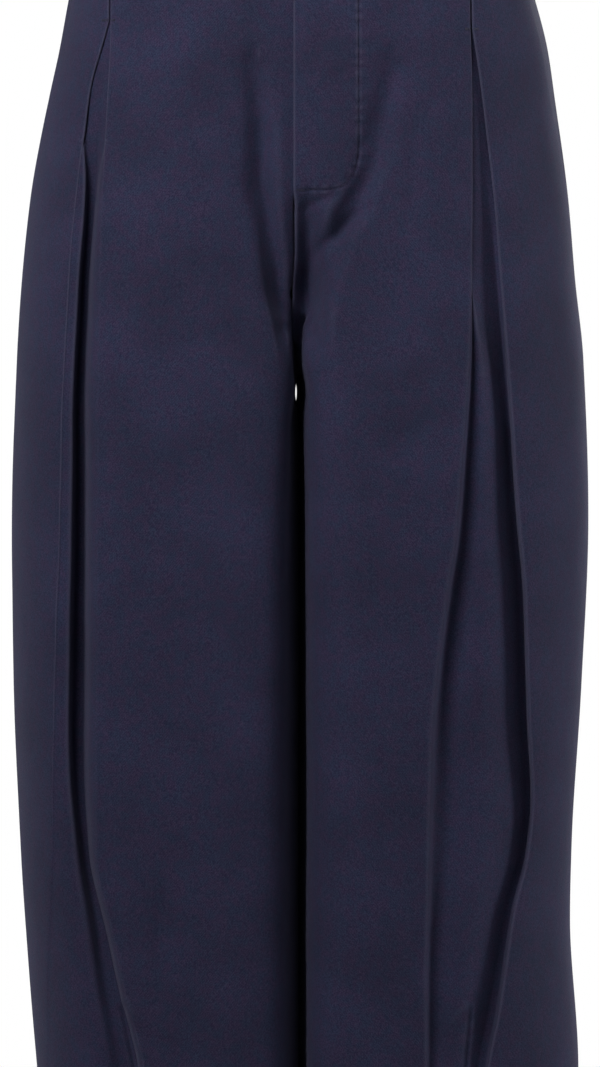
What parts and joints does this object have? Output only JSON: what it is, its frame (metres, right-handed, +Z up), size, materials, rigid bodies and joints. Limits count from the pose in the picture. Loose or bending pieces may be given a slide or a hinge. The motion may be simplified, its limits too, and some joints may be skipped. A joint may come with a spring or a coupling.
{
  "type": "pleated wide-leg trousers",
  "caption": "Dark navy cotton trousers with balloon legs, inverted box pleats, slanted side pockets and a fly, hollow as worn.",
  "frame": {"origin": "middle of the waist opening at half the waistband's height, where the wearer holds the trousers up", "axes": "+Z up along the legs, -Y is the front, +X is the wearer's left"},
  "size_m": [0.3462, 0.21, 0.9161],
  "materials": {
    "cloth": "dark navy brushed cotton twill, matte with a soft pale nap at grazing angles",
    "facing": "the same dark navy cotton twill, matte",
    "button": "dark navy horn-like resin, satin"
  },
  "bodies": {
    "root": {"front_right": "cloth", "front_left": "cloth", "back_right": "cloth", "back_left": "cloth", "waistband": "cloth", "pocket_facing_right": "facing", "pocket_facing_left": "facing", "fly_facing": "facing", "waist_button": "button"}
  },
  "joints": []
}
